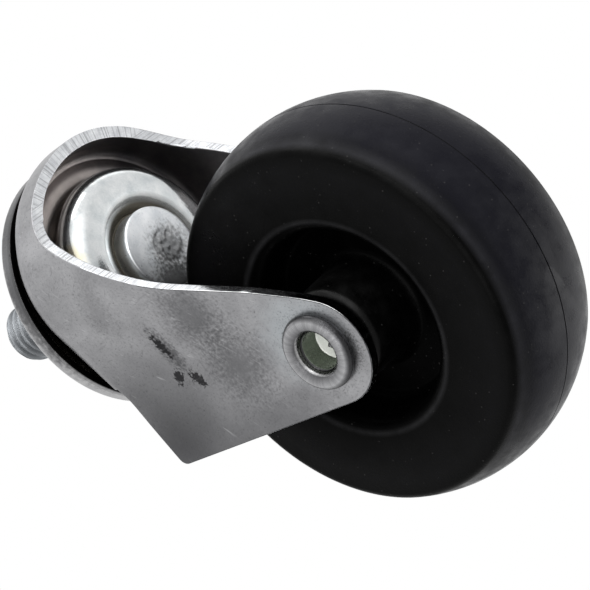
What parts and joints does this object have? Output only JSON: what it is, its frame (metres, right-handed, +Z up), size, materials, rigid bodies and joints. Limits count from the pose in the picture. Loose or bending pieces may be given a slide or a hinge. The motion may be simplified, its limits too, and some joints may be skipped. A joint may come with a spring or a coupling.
{
  "type": "threaded stem swivel castor",
  "caption": "Swivel castor with a threaded stem, a pressed steel fork on a ball race and a solid plastic wheel on a riveted axle.",
  "frame": {"origin": "centre of the top cap's upper face, on the swivel axis", "axes": "+Z up along the threaded stem, +X to the leading side, so the wheel trails at -X, and the axle lies along Y"},
  "size_m": [0.0621, 0.0344, 0.0832],
  "materials": {
    "zinc_plate": "bright zinc plate, satin and lightly worn",
    "bearing_steel": "polished steel",
    "wheel_plastic": "moulded, low sheen"
  },
  "bodies": {
    "base": {"kingpin": "zinc_plate", "top_cap": "zinc_plate", "lower_race_cup": "zinc_plate"},
    "fork": {"fork": "zinc_plate", "axle_rivet": "zinc_plate", "axle_sleeve": "bearing_steel"},
    "wheel": {"wheel": "wheel_plastic"},
    "upper_balls": {"upper_ball_01": "bearing_steel", "upper_ball_02": "bearing_steel", "upper_ball_03": "bearing_steel", "upper_ball_04": "bearing_steel", "upper_ball_05": "bearing_steel", "upper_ball_06": "bearing_steel", "upper_ball_07": "bearing_steel", "upper_ball_08": "bearing_steel", "upper_ball_09": "bearing_steel", "upper_ball_10": "bearing_steel", "upper_ball_11": "bearing_steel", "upper_ball_12": "bearing_steel", "upper_ball_13": "bearing_steel", "upper_ball_14": "bearing_steel", "upper_ball_15": "bearing_steel", "upper_ball_16": "bearing_steel", "upper_ball_17": "bearing_steel", "upper_ball_18": "bearing_steel", "upper_ball_19": "bearing_steel", "upper_ball_20": "bearing_steel", "upper_ball_21": "bearing_steel", "upper_ball_22": "bearing_steel", "upper_ball_23": "bearing_steel", "upper_ball_24": "bearing_steel", "upper_ball_25": "bearing_steel", "upper_ball_26": "bearing_steel", "upper_ball_27": "bearing_steel", "upper_ball_28": "bearing_steel", "upper_ball_29": "bearing_steel", "upper_ball_30": "bearing_steel"},
    "lower_balls": {"lower_ball_01": "bearing_steel", "lower_ball_02": "bearing_steel", "lower_ball_03": "bearing_steel", "lower_ball_04": "bearing_steel", "lower_ball_05": "bearing_steel", "lower_ball_06": "bearing_steel", "lower_ball_07": "bearing_steel", "lower_ball_08": "bearing_steel", "lower_ball_09": "bearing_steel", "lower_ball_10": "bearing_steel", "lower_ball_11": "bearing_steel"}
  },
  "joints": [
    {"name": "swivel", "type": "hinge", "parent": "base", "child": "fork", "pos_m": [0, 0, 0], "axis": [0, 0, 1], "continuous": true},
    {"name": "wheel_spin", "type": "hinge", "parent": "fork", "child": "wheel", "pos_m": [-0.0195, 0, -0.0383], "axis": [0, 1, 0], "continuous": true},
    {"name": "upper_balls_roll", "type": "hinge", "parent": "base", "child": "upper_balls", "pos_m": [0, 0, -0.00239], "axis": [0, 0, 1], "continuous": true},
    {"name": "lower_balls_roll", "type": "hinge", "parent": "base", "child": "lower_balls", "pos_m": [0, 0, -0.00706], "axis": [0, 0, 1], "continuous": true}
  ],
  "couplings": [
    {"joint": "upper_balls_roll", "follows": "swivel", "ratio": 0.5},
    {"joint": "lower_balls_roll", "follows": "swivel", "ratio": 0.5}
  ]
}
